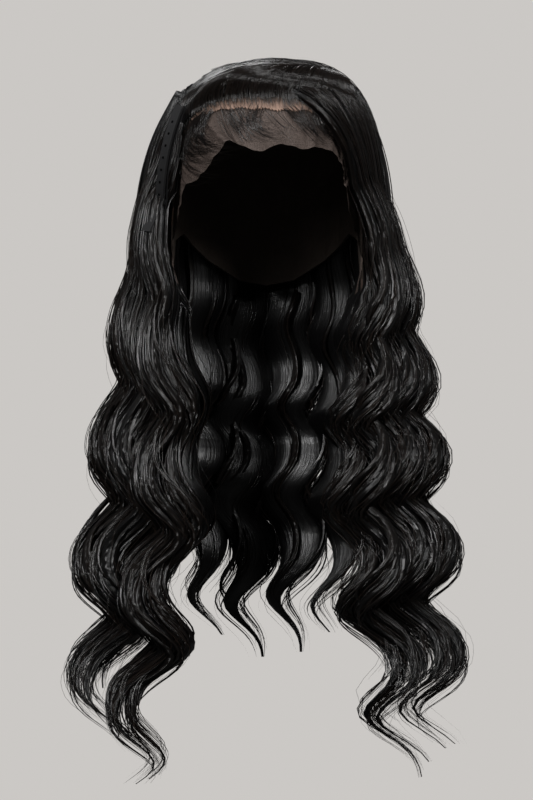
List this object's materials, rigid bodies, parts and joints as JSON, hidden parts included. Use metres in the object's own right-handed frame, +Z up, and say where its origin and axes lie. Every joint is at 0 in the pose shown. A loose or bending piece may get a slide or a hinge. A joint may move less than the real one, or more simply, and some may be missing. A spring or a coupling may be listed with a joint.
{
  "type": "lace front wig",
  "caption": "Long black body-wave lace front wig with a deep side parting, sheer lace hairline and a flat sectioning clip, in the shape it takes when worn.",
  "frame": {"origin": "inside top of the cap, where the crown of the wearer's head touches it", "axes": "+Z up, -Y the way the wearer faces, +X the wearer's left"},
  "size_m": [0.3133, 0.2167, 0.5789],
  "materials": {
    "hair": "glossy black human hair fibre",
    "cap_net": "dark brown stretch net",
    "lace": "sheer brown lace net",
    "knots": "pale skin-tone knotted net",
    "clip": "matte black",
    "clip_pin": "blackened steel"
  },
  "bodies": {
    "wig": {"cap": "cap_net", "lace_front": "lace", "hairline_band": "knots", "ear_tab_right": "cap_net", "ear_tab_left": "cap_net", "hair_right": "hair", "hair_top": "hair", "hair_left": "hair", "hair_back": "hair", "clip_jaw_inner": "clip", "clip_pin": "clip_pin"},
    "clip_jaw": {"clip_jaw_outer": "clip"}
  },
  "joints": [
    {"name": "clip_open", "type": "hinge", "parent": "wig", "child": "clip_jaw", "pos_m": [-0.0835, -0.054, -0.103], "axis": [0.7598, -0.6315, -0.1549], "range_deg": [0, 15], "stiffness_Nm_per_rad": 0.03, "springref_deg": -28.65}
  ]
}
